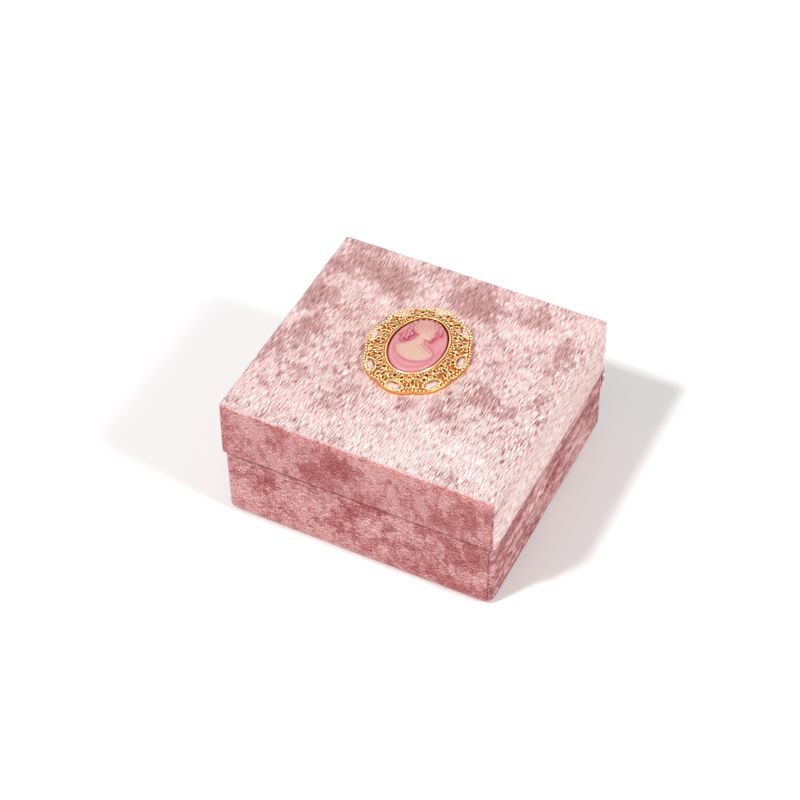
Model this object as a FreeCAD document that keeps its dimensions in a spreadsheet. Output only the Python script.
import FreeCAD, Part
import Sketcher
import os

# A square jewelry box of board covered with velvet.  The lid is hinged at the back by its own
# covering, closes over a shoulder inside the base, and carries an oval cameo brooch.
# The frame stands on the middle of the underside: +X to the right, +Y to the back, +Z up.

doc = FreeCAD.newDocument("jewelry_box")
sheet = doc.addObject("Spreadsheet::Sheet", "sizes")

DRIVING_SIZES = {
    # outside of the closed box
    "lid_width": 95.0,
    "lid_depth": 88.0,
    "box_height": 49.0,
    "seam_height": 28.0,
    "seam_gap": 0.3,
    "base_inset": 0.5,
    # sheet thicknesses
    "velvet": 1.0,
    "lid_board": 2.0,
    "base_board": 2.5,
    "bottom_board_corner": 2.0,
    "lid_lining_thickness": 0.4,
    "floor_lining_thickness": 0.4,
    "bottom_sheet_thickness": 0.4,
    "bottom_sheet_margin": 2.5,
    "turn_in": 10.0,
    # shoulder that the lid closes over
    "collar": 1.5,
    "collar_rise": 4.0,
    # cloth hinge
    "flap_drop": 8.5,
    "hinge_cloth": 0.3,
    "hinge_cloth_reach": 8.0,
    # inside of the base
    "divider": 1.5,
    "divider_top": 27.0,
    "riser_height": 11.7,
    "ring_roll_height": 12.5,
    "ring_roll_pitch": 9.0,
    "ring_roll_gap": 0.2,
    # padded panel in the lid
    "pad_card": 1.0,
    "pad_thickness": 4.0,
    "pad_margin": 1.0,
    "pad_corner": 3.0,
    "pad_edge": 1.5,
    # brooch
    "brooch_x": -1.4,
    "brooch_y": 3.9,
    "brooch_turn": 1.3,
    "glue_thickness": 0.6,
    "backplate_thickness": 0.5,
    "stone_width": 18.0,
    "stone_length": 25.0,
    "stone_wall": 2.1,
    "stone_dome": 0.9,
    "stone_gap": 0.1,
    "bezel_wall": 0.8,
    "bezel_height": 2.5,
    "frame_width": 34.0,
    "frame_length": 39.5,
    "frame_thickness": 1.1,
    "frame_rise": 1.6,
    "frame_lift": 0.2,
    "window_length": 4.2,
    "window_width": 2.2,
    "window_count": 8,
}
for row, (alias, value) in enumerate(DRIVING_SIZES.items(), start=1):
    sheet.set(f"A{row}", alias)
    sheet.set(f"B{row}", str(value))
    sheet.setAlias(f"B{row}", alias)
doc.recompute()

# Planes of the box, each an expression over the sheet, from the outside in.
LID_X = "(sizes.lid_width / 2)"
LID_Y = "(sizes.lid_depth / 2)"
LID_BOARD_X = f"({LID_X} - sizes.velvet)"
LID_BOARD_Y = f"({LID_Y} - sizes.velvet)"
LID_WALL_X = f"({LID_BOARD_X} - sizes.lid_board)"
LID_WALL_Y = f"({LID_BOARD_Y} - sizes.lid_board)"
LID_INSIDE_X = f"({LID_WALL_X} - sizes.lid_lining_thickness)"
LID_INSIDE_Y = f"({LID_WALL_Y} - sizes.lid_lining_thickness)"

LID_TOP = "sizes.box_height"
LID_BOARD_TOP = "(sizes.box_height - sizes.velvet)"
LID_CEILING = f"({LID_BOARD_TOP} - sizes.lid_board)"
LID_LINING_CEILING = f"({LID_CEILING} - sizes.lid_lining_thickness)"
LID_HEM = "(sizes.seam_height + sizes.seam_gap / 2)"
LID_BOARD_FOOT = f"({LID_HEM} + sizes.velvet)"

BASE_X = f"({LID_X} - sizes.base_inset)"
BASE_FRONT = f"(-{LID_Y} + sizes.base_inset)"
BASE_BACK = f"({LID_Y} - sizes.velvet)"
BASE_BOARD_X = f"({BASE_X} - sizes.velvet)"
BASE_BOARD_FRONT = f"({BASE_FRONT} + sizes.velvet)"
BASE_BOARD_BACK = f"({BASE_BACK} - sizes.velvet)"
BASE_WALL_X = f"({BASE_BOARD_X} - sizes.base_board)"
BASE_WALL_FRONT = f"({BASE_BOARD_FRONT} + sizes.base_board)"
BASE_WALL_BACK = f"({BASE_BOARD_BACK} - sizes.base_board)"

BASE_FOOT = "sizes.bottom_sheet_thickness"
BASE_BOARD_FOOT = f"({BASE_FOOT} + sizes.velvet)"
BASE_FLOOR = f"({BASE_BOARD_FOOT} + sizes.base_board)"
BASE_LINED_FLOOR = f"({BASE_FLOOR} + sizes.floor_lining_thickness)"
BASE_RIM = "(sizes.seam_height - sizes.seam_gap / 2)"
BASE_BOARD_TOP = f"({BASE_RIM} - sizes.velvet)"

COLLAR_BACK = f"({BASE_WALL_BACK} - sizes.hinge_cloth)"
INSIDE_X = f"({BASE_WALL_X} - sizes.collar)"
INSIDE_FRONT = f"({BASE_WALL_FRONT} + sizes.collar)"
INSIDE_BACK = f"({COLLAR_BACK} - sizes.collar)"
COLLAR_TOP = "(sizes.seam_height + sizes.collar_rise)"
DIVIDER_BACK = f"({INSIDE_BACK} - 4 * sizes.ring_roll_pitch)"
DIVIDER_FRONT = f"({DIVIDER_BACK} - sizes.divider)"
RISER_TOP = f"({BASE_LINED_FLOOR} + sizes.riser_height)"

BACKPLATE_FOOT = f"({LID_TOP} + sizes.glue_thickness)"
STONE_FOOT = f"({BACKPLATE_FOOT} + sizes.backplate_thickness)"
STONE_SHOULDER = f"({STONE_FOOT} + sizes.stone_wall)"

nodes = []


def keep(piece):
    """Marks a document object as one finished piece of the box."""
    nodes.append(piece)
    return piece


def block(label, x, y, z):
    """Rectangular solid between three pairs of planes, each plane an expression."""
    piece = doc.addObject("Part::Box", label)
    piece.Label = label
    for size, axis, (low, high) in (("Length", "x", x), ("Width", "y", y), ("Height", "z", z)):
        piece.setExpression(size, f"({high}) - ({low})")
        piece.setExpression(f"Placement.Base.{axis}", f"{low}")
    return piece


def both_sides(plane):
    """The pair of planes at minus and plus an expression."""
    return (f"-{plane}", plane)


def cut(label, solid, tools):
    """Solid less the tools, as one object of the document."""
    tool = tools[0]
    if len(tools) > 1:
        tool = doc.addObject("Part::MultiFuse", f"{label}_tools")
        tool.Shapes = tools
    piece = doc.addObject("Part::Cut", label)
    piece.Label = label
    piece.Base = solid
    piece.Tool = tool
    return piece


def is_upright(edge):
    """True for a straight edge along Z."""
    return edge.BoundBox.XLength < 0.001 and edge.BoundBox.YLength < 0.001


def round_edges(label, solid, size, chosen):
    """Solid with the edges that satisfy chosen rounded by the size of that name."""
    doc.recompute()
    radius = DRIVING_SIZES[size]
    piece = doc.addObject("Part::Fillet", label)
    piece.Label = label
    piece.Base = solid
    piece.Edges = [(number, radius, radius)
                   for number, edge in enumerate(solid.Shape.Edges, start=1) if chosen(edge)]
    return piece


def origin_plane(body, role):
    """Origin plane of a body, found by its role."""
    return next(f for f in body.Origin.OriginFeatures if f.Role == role)


# ---------------------------------------------------------------- greyboard shells

def lid_boards():
    """Five boards of the lid: the walls stand under the top board."""
    walls = (LID_BOARD_FOOT, LID_CEILING)
    keep(block("lid_top_board", both_sides(LID_BOARD_X), both_sides(LID_BOARD_Y),
               (LID_CEILING, LID_BOARD_TOP)))
    keep(block("lid_front_board", both_sides(LID_BOARD_X), (f"-{LID_BOARD_Y}", f"-{LID_WALL_Y}"), walls))
    keep(block("lid_back_board", both_sides(LID_BOARD_X), (LID_WALL_Y, LID_BOARD_Y), walls))
    keep(block("lid_left_board", (f"-{LID_BOARD_X}", f"-{LID_WALL_X}"), both_sides(LID_WALL_Y), walls))
    keep(block("lid_right_board", (LID_WALL_X, LID_BOARD_X), both_sides(LID_WALL_Y), walls))


def base_boards():
    """Five boards of the base: the walls stand on the bottom board."""
    walls = (BASE_FLOOR, BASE_BOARD_TOP)
    sides = (BASE_WALL_FRONT, BASE_WALL_BACK)
    square = block("bottom_board_square", both_sides(BASE_BOARD_X), (BASE_BOARD_FRONT, BASE_BOARD_BACK),
                   (BASE_BOARD_FOOT, BASE_FLOOR))
    keep(round_edges("bottom_board", square, "bottom_board_corner", is_upright))
    keep(block("base_front_board", both_sides(BASE_BOARD_X), (BASE_BOARD_FRONT, BASE_WALL_FRONT), walls))
    keep(block("base_back_board", both_sides(BASE_BOARD_X), (BASE_WALL_BACK, BASE_BOARD_BACK), walls))
    keep(block("base_left_board", (f"-{BASE_BOARD_X}", f"-{BASE_WALL_X}"), sides, walls))
    keep(block("base_right_board", (BASE_WALL_X, BASE_BOARD_X), sides, walls))


def collar():
    """Shoulder of wrapped card inside the base, four strips that rise above its rim."""
    span = (BASE_FLOOR, COLLAR_TOP)
    sides = (INSIDE_FRONT, INSIDE_BACK)
    keep(block("collar_front", both_sides(BASE_WALL_X), (BASE_WALL_FRONT, INSIDE_FRONT), span))
    keep(block("collar_back", both_sides(BASE_WALL_X), (INSIDE_BACK, COLLAR_BACK), span))
    keep(block("collar_left", (f"-{BASE_WALL_X}", f"-{INSIDE_X}"), sides, span))
    keep(block("collar_right", (INSIDE_X, BASE_WALL_X), sides, span))


# ---------------------------------------------------------------- velvet, linings and hinge cloth

def lid_velvet():
    """Covering of the lid: top, front and sides, turned under the walls' feet as a hem."""
    outside = block("lid_wrap_outside", both_sides(LID_X), both_sides(LID_Y), (LID_HEM, LID_TOP))
    boards = block("lid_wrap_boards", both_sides(LID_BOARD_X), both_sides(LID_BOARD_Y),
                   (LID_BOARD_FOOT, LID_BOARD_TOP))
    mouth = block("lid_wrap_mouth", both_sides(LID_INSIDE_X), both_sides(LID_INSIDE_Y),
                  (f"{LID_HEM} - 1", f"{LID_BOARD_FOOT} + 1"))
    back = block("lid_wrap_back", both_sides(f"({LID_X} + 1)"), (LID_BOARD_Y, f"({LID_Y} + 1)"),
                 (f"{LID_HEM} - 1", LID_BOARD_TOP))
    keep(cut("lid_velvet_wrap", outside, [boards, mouth, back]))


def base_velvet():
    """Covering of the base: four walls, over the rim, and turned in under the bottom board."""
    outside = block("base_wrap_outside", both_sides(BASE_X), (BASE_FRONT, BASE_BACK),
                    (BASE_FOOT, BASE_RIM))
    boards = block("base_wrap_boards", both_sides(BASE_BOARD_X), (BASE_BOARD_FRONT, BASE_BOARD_BACK),
                   (BASE_BOARD_FOOT, BASE_BOARD_TOP))
    mouth = block("base_wrap_mouth", both_sides(BASE_WALL_X), (BASE_WALL_FRONT, BASE_WALL_BACK),
                  (f"{BASE_BOARD_TOP} - 1", f"{BASE_RIM} + 1"))
    bare = block("base_wrap_bare", both_sides(f"({BASE_X} - sizes.turn_in)"),
                 (f"{BASE_FRONT} + sizes.turn_in", f"{BASE_BACK} - sizes.turn_in"),
                 (f"{BASE_FOOT} - 1", f"{BASE_BOARD_FOOT} + 1"))
    keep(cut("base_velvet_wrap", outside, [boards, mouth, bare]))


def underside():
    """Filler card between the turned-in edges, and the sheet that covers both."""
    keep(block("bottom_filler_card", both_sides(f"({BASE_X} - sizes.turn_in)"),
               (f"{BASE_FRONT} + sizes.turn_in", f"{BASE_BACK} - sizes.turn_in"),
               (BASE_FOOT, BASE_BOARD_FOOT)))
    keep(block("bottom_sheet", both_sides(f"({BASE_X} - sizes.bottom_sheet_margin)"),
               (f"{BASE_FRONT} + sizes.bottom_sheet_margin", f"{BASE_BACK} - sizes.bottom_sheet_margin"),
               ("0", BASE_FOOT)))


def hinge():
    """The lid's back covering and its flap on the base, and the cloth inside the corner.

    Both cloths are cut at the seam, so that the upper part turns with the lid.  The hinge line
    is the outer face of the back covering at the height of the seam.
    """
    seam = "sizes.seam_height"
    outer = (LID_BOARD_Y, LID_Y)
    keep(block("hinge_back_velvet", both_sides(LID_X), outer, (seam, LID_BOARD_TOP)))
    keep(block("hinge_flap_velvet", both_sides(BASE_X), outer, (f"{seam} - sizes.flap_drop", seam)))
    keep(block("inner_hinge_cloth_lid", both_sides(INSIDE_X), (f"{LID_INSIDE_Y} - sizes.hinge_cloth",
               LID_INSIDE_Y), (LID_HEM, f"{LID_HEM} + sizes.hinge_cloth_reach")))
    keep(block("inner_hinge_cloth_base", both_sides(INSIDE_X), (COLLAR_BACK, BASE_WALL_BACK),
               (f"{BASE_RIM} - sizes.hinge_cloth_reach", BASE_RIM)))


def linings():
    """Lining of the lid's ceiling and walls, and of the base's floor."""
    outside = block("lid_lining_outside", both_sides(LID_WALL_X), both_sides(LID_WALL_Y),
                    (LID_BOARD_FOOT, LID_CEILING))
    inside = block("lid_lining_inside", both_sides(LID_INSIDE_X), both_sides(LID_INSIDE_Y),
                   (f"{LID_BOARD_FOOT} - 1", LID_LINING_CEILING))
    keep(cut("lid_lining", outside, [inside]))
    keep(block("floor_lining", both_sides(INSIDE_X), (INSIDE_FRONT, INSIDE_BACK),
               (BASE_FLOOR, BASE_LINED_FLOOR)))


# ---------------------------------------------------------------- fittings inside

def dividers():
    """Two cards: one along X in front of the ring rolls, one along Y between the compartments."""
    span = (BASE_LINED_FLOOR, "sizes.divider_top")
    keep(block("divider_long", both_sides(INSIDE_X), (DIVIDER_FRONT, DIVIDER_BACK), span))
    keep(block("divider_cross", both_sides("(sizes.divider / 2)"), (INSIDE_FRONT, DIVIDER_FRONT), span))


def ring_tray():
    """Foam riser with four padded rolls side by side; a ring is held between two rolls."""
    keep(block("ring_riser", both_sides(INSIDE_X), (DIVIDER_BACK, INSIDE_BACK),
               (BASE_LINED_FLOOR, RISER_TOP)))
    for number in range(1, 5):
        middle = f"{DIVIDER_BACK} + ({number} - 0.5) * sizes.ring_roll_pitch"
        keep(ring_roll(f"ring_roll_{number}", middle))


def ring_roll(label, middle):
    """Roll along X: straight sides under a half-round top, sketched on the YZ plane."""
    body = doc.addObject("PartDesign::Body", label)
    body.Label = label
    sketch = body.newObject("Sketcher::SketchObject", f"{label}_section")
    sketch.AttachmentSupport = [(origin_plane(body, "YZ_Plane"), "")]
    sketch.MapMode = "FlatFace"

    half = (DRIVING_SIZES["ring_roll_pitch"] - DRIVING_SIZES["ring_roll_gap"]) / 2
    shoulder = DRIVING_SIZES["ring_roll_height"] - half
    corners = [FreeCAD.Vector(-half, shoulder, 0), FreeCAD.Vector(-half, 0, 0),
               FreeCAD.Vector(half, 0, 0), FreeCAD.Vector(half, shoulder, 0)]
    for start, end in zip(corners, corners[1:]):
        sketch.addGeometry(Part.LineSegment(start, end))
    crown = FreeCAD.Vector(0, DRIVING_SIZES["ring_roll_height"], 0)
    sketch.addGeometry(Part.Arc(corners[3], crown, corners[0]))
    left, bottom, right, arc = range(4)
    start_point, end_point, centre_point = 1, 2, 3
    add = sketch.addConstraint
    constraint = Sketcher.Constraint
    add(constraint("Coincident", left, end_point, bottom, start_point))
    add(constraint("Coincident", bottom, end_point, right, start_point))
    add(constraint("Tangent", right, end_point, arc, start_point))
    add(constraint("Tangent", arc, end_point, left, start_point))
    add(constraint("Horizontal", bottom))
    add(constraint("Vertical", left))
    add(constraint("PointOnObject", arc, centre_point, -2))
    add(constraint("PointOnObject", bottom, start_point, -1))
    radius = add(constraint("Radius", arc, half))
    sketch.setExpression(f"Constraints[{radius}]", "(sizes.ring_roll_pitch - sizes.ring_roll_gap) / 2")
    side = add(constraint("DistanceY", right, start_point, right, end_point, shoulder))
    sketch.setExpression(f"Constraints[{side}]", "sizes.ring_roll_height - "
                         "(sizes.ring_roll_pitch - sizes.ring_roll_gap) / 2")

    pad = body.newObject("PartDesign::Pad", f"{label}_pad")
    pad.Profile = sketch
    pad.Midplane = True
    pad.setExpression("Length", f"2 * ({INSIDE_X} - sizes.ring_roll_gap)")
    body.Tip = pad
    body.setExpression("Placement.Base.y", middle)
    body.setExpression("Placement.Base.z", RISER_TOP)
    return body


def lid_pad():
    """Card and satin pad under the lid's ceiling, the pad with rounded corners and lower edge."""
    half_x = f"({LID_INSIDE_X} - sizes.pad_margin)"
    half_y = f"({LID_INSIDE_Y} - sizes.pad_margin)"
    card_foot = f"({LID_LINING_CEILING} - sizes.pad_card)"
    pad_foot = f"({card_foot} - sizes.pad_thickness)"
    keep(block("lid_pad_card", both_sides(half_x), both_sides(half_y), (card_foot, LID_LINING_CEILING)))
    cushion = block("lid_pad_cushion", both_sides(half_x), both_sides(half_y), (pad_foot, card_foot))
    corners = round_edges("lid_pad_corners", cushion, "pad_corner", is_upright)
    doc.recompute()
    foot = corners.Shape.BoundBox.ZMin + 0.001
    keep(round_edges("lid_pad", corners, "pad_edge", lambda edge: edge.BoundBox.ZMax < foot))


# ---------------------------------------------------------------- brooch

def place_on_brooch(piece, height, x="0", y="0"):
    """Puts a piece on the brooch's axis, turned with it, with x and y in the brooch's own frame."""
    turn = "(sizes.brooch_turn * 1deg)"
    piece.Placement.Rotation = FreeCAD.Rotation(FreeCAD.Vector(0, 0, 1), 1)
    piece.setExpression("Placement.Base.x", f"sizes.brooch_x + ({x}) * cos({turn}) - ({y}) * sin({turn})")
    piece.setExpression("Placement.Base.y", f"sizes.brooch_y + ({x}) * sin({turn}) + ({y}) * cos({turn})")
    piece.setExpression("Placement.Base.z", height)
    piece.setExpression("Placement.Rotation.Angle", "sizes.brooch_turn")


def oval(label, length, width, height):
    """Ellipse whose long axis lies along Y before the brooch's turn."""
    curve = doc.addObject("Part::Ellipse", label)
    curve.setExpression("MajorRadius", f"({length}) / 2")
    curve.setExpression("MinorRadius", f"({width}) / 2")
    place_on_brooch(curve, height)
    curve.setExpression("Placement.Rotation.Angle", "sizes.brooch_turn + 90")
    return curve


def oval_plate(label, length, width, foot, thickness):
    """Oval solid of constant thickness."""
    plate = doc.addObject("Part::Extrusion", label)
    plate.Label = label
    plate.Base = oval(f"{label}_outline", length, width, foot)
    plate.DirMode = "Custom"
    plate.Dir = FreeCAD.Vector(0, 0, 1)
    plate.Solid = True
    plate.setExpression("LengthFwd", thickness)
    return plate


def oval_cone(label, foot_size, top_size, foot, rise):
    """Solid between a lower oval and a smaller upper one, each size a (length, width) pair."""
    cone = doc.addObject("Part::Loft", label)
    cone.Sections = [oval(f"{label}_foot", *foot_size, foot),
                     oval(f"{label}_top", *top_size, f"{foot} + {rise}")]
    cone.Solid = True
    cone.Ruled = True
    return cone


def ellipsoid(label, half_sizes, height, x="0", y="0"):
    """Full ellipsoid with half sizes (x, y, z), placed in the brooch's frame."""
    ball = doc.addObject("Part::Ellipsoid", label)
    half_x, half_y, half_z = half_sizes
    ball.setExpression("Radius1", half_z)
    ball.setExpression("Radius2", half_x)
    ball.setExpression("Radius3", half_y)
    ball.Angle1 = -90
    ball.Angle2 = 90
    ball.Angle3 = 360
    place_on_brooch(ball, height, x, y)
    return ball


def stone_solid(label):
    """Cabochon: an upright oval wall under a low dome."""
    wall = oval_plate(f"{label}_wall", "sizes.stone_length", "sizes.stone_width", STONE_FOOT,
                      "sizes.stone_wall")
    dome = ellipsoid(f"{label}_dome", ("sizes.stone_width / 2", "sizes.stone_length / 2",
                                       "sizes.stone_dome"), STONE_SHOULDER)
    below = block(f"{label}_below", ("sizes.brooch_x - 20", "sizes.brooch_x + 20"),
                  ("sizes.brooch_y - 20", "sizes.brooch_y + 20"),
                  (f"{STONE_SHOULDER} - 5", STONE_SHOULDER))
    cap = cut(f"{label}_cap", dome, [below])
    stone = doc.addObject("Part::MultiFuse", label)
    stone.Label = label
    stone.Shapes = [wall, cap]
    stone.Refine = True
    return stone


def brooch_mounting():
    """Glue pad, back plate, bezel ring and stone, one on the other."""
    bore_length = "(sizes.stone_length + 2 * sizes.stone_gap)"
    bore_width = "(sizes.stone_width + 2 * sizes.stone_gap)"
    ring_length = f"({bore_length} + 2 * sizes.bezel_wall)"
    ring_width = f"({bore_width} + 2 * sizes.bezel_wall)"
    keep(oval_plate("brooch_glue_pad", ring_length, ring_width, LID_TOP, "sizes.glue_thickness"))
    keep(oval_plate("brooch_backplate", ring_length, ring_width, BACKPLATE_FOOT,
                    "sizes.backplate_thickness"))
    ring = oval_plate("bezel_ring", ring_length, ring_width, STONE_FOOT, "sizes.bezel_height")
    bore = oval_plate("bezel_bore", bore_length, bore_width, f"{STONE_FOOT} - 1",
                      "sizes.bezel_height + 2")
    keep(cut("brooch_bezel", ring, [bore]))
    keep(stone_solid("cameo_cabochon"))
    return ring_length, ring_width


def filigree_frame(ring_length, ring_width):
    """Domed oval frame around the bezel, with a ring of openwork windows."""
    edge = ("sizes.frame_length", "sizes.frame_width")
    neck = (f"({ring_length} + 1)", f"({ring_width} + 1)")
    foot = f"({LID_TOP} + sizes.frame_lift)"
    dome = oval_cone("frame_dome", edge, neck, f"({foot} + sizes.frame_thickness)", "sizes.frame_rise")
    rim = oval_plate("frame_rim", *edge, foot, "sizes.frame_thickness")
    whole = doc.addObject("Part::MultiFuse", "frame_whole")
    whole.Shapes = [dome, rim]
    hollow = oval_cone("frame_hollow", (f"({edge[0]} - 0.2)", f"({edge[1]} - 0.2)"), neck,
                       f"({foot} - 0.001)", "sizes.frame_rise")
    bore = oval_plate("frame_bore", f"{ring_length} + 0.1", f"{ring_width} + 0.1", f"{foot} - 1",
                      "sizes.frame_rise + sizes.frame_thickness + 2")
    windows = []
    for number in range(DRIVING_SIZES["window_count"]):
        windows.append(frame_window(number, ring_length, ring_width, foot))
    keep(cut("brooch_filigree_frame", whole, [hollow, bore] + windows))


def frame_window(number, ring_length, ring_width, foot):
    """Upright oval cutter midway between bezel and rim, its long axis pointing outwards."""
    angle = f"({number} * 360 / sizes.window_count * 1deg)"
    window = doc.addObject("Part::Extrusion", f"frame_window_{number}")
    outline = doc.addObject("Part::Ellipse", f"frame_window_{number}_outline")
    outline.setExpression("MajorRadius", "sizes.window_length / 2")
    outline.setExpression("MinorRadius", "sizes.window_width / 2")
    reach_x = f"(({ring_width} + sizes.frame_width) / 4 * cos({angle}))"
    reach_y = f"(({ring_length} + sizes.frame_length) / 4 * sin({angle}))"
    place_on_brooch(outline, f"{foot} - 1", reach_x, reach_y)
    outline.setExpression("Placement.Rotation.Angle", f"sizes.brooch_turn * 1deg + {angle}")
    window.Base = outline
    window.DirMode = "Custom"
    window.Dir = FreeCAD.Vector(0, 0, 1)
    window.Solid = True
    window.setExpression("LengthFwd", "sizes.frame_rise + sizes.frame_thickness + 2")
    return window


def cameo_bust():
    """Plain relief on the stone: shoulders, neck, head and hair as half-sunk rounds."""
    surface = f"({STONE_SHOULDER} + sizes.stone_dome - 0.3)"
    rounds = [
        ellipsoid("bust_shoulders", ("6.0", "3.4", "0.9"), surface, "0", "-5.8"),
        ellipsoid("bust_neck", ("1.5", "2.6", "0.8"), surface, "0", "-2.0"),
        ellipsoid("bust_head", ("2.3", "2.9", "1.1"), surface, "0.6", "2.4"),
        ellipsoid("bust_hair", ("2.6", "2.4", "1.2"), surface, "-1.2", "3.8"),
    ]
    solid = doc.addObject("Part::MultiFuse", "bust_rounds")
    solid.Shapes = rounds
    keep(cut("cameo_bust", solid, [stone_solid("bust_seat")]))


lid_boards()
base_boards()
collar()
lid_velvet()
base_velvet()
underside()
hinge()
linings()
dividers()
ring_tray()
lid_pad()
filigree_frame(*brooch_mounting())
cameo_bust()
doc.recompute()

# ---------------------------------------------------------------- checks and files

for item in doc.Objects:
    if "Invalid" in item.State or "Error" in item.State:
        raise RuntimeError(f"{item.Label} failed: {item.State}")

os.makedirs("parts", exist_ok=True)
for node in nodes:
    shape = node.Shape
    if shape.isNull() or not shape.isValid() or not shape.Solids:
        raise RuntimeError(f"{node.Label} has no valid solid")
    shape.exportStep(f"parts/{node.Label}.step")
    box = shape.BoundBox
    print(f"{node.Label:24s} {len(shape.Solids)} solid {shape.Volume:10.1f} mm3  "
          f"x {box.XMin:6.2f} {box.XMax:6.2f}  y {box.YMin:6.2f} {box.YMax:6.2f}  "
          f"z {box.ZMin:6.2f} {box.ZMax:6.2f}")
